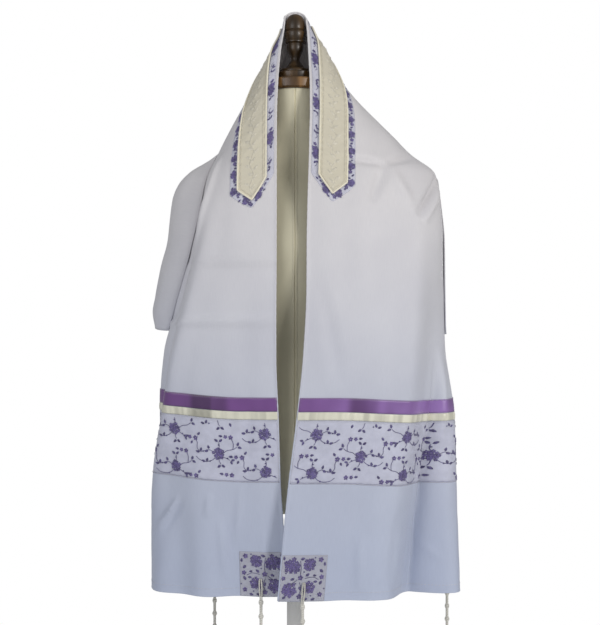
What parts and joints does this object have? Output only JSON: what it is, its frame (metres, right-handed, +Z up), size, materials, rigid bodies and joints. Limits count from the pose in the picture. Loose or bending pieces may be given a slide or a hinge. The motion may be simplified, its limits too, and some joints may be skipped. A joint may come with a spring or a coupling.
{
  "type": "tallit prayer shawl on a limbless dress form",
  "caption": "Fringed prayer shawl with neckband, ribbons and lace bands, draped over a limbless dress form on a stand.",
  "frame": {"origin": "centre of the stand's underside, on the floor", "axes": "+Z up, the front faces -Y, +X to the right of someone who looks at the front"},
  "size_m": [0.5138, 0.37, 1.3156],
  "materials": {
    "shawl": "smooth satin-faced white cloth with a soft sheen",
    "lace": "sheer organza with raised violet floral embroidery",
    "purple_ribbon": "glossy satin ribbon",
    "cream_ribbon": "glossy satin ribbon, lightly puckered",
    "neckband": "ivory satin, lightly puckered",
    "tassel": "twisted matt cord",
    "form_cover": "matt stretched cloth cover",
    "dark_wood": "dark stained turned wood, satin varnish",
    "painted_steel": "off-white paint"
  },
  "bodies": {
    "root": {"shawl_front_left": "shawl", "shawl_front_right": "shawl", "shawl_back": "shawl", "neckband": "neckband", "neckband_lace": "lace", "lace_band_left": "lace", "lace_band_right": "lace", "ribbon_cream_left": "cream_ribbon", "ribbon_cream_right": "cream_ribbon", "ribbon_purple_left": "purple_ribbon", "ribbon_purple_right": "purple_ribbon", "patch_inner_left": "lace", "patch_inner_right": "lace", "patch_outer_left": "lace", "patch_outer_right": "lace", "tassel_inner_left": "tassel", "tassel_inner_right": "tassel", "tassel_outer_left": "tassel", "tassel_outer_right": "tassel", "form_torso": "form_cover", "form_neck_plate": "dark_wood", "form_knob": "dark_wood", "stand_pole": "painted_steel", "stand_base": "painted_steel"}
  },
  "joints": []
}
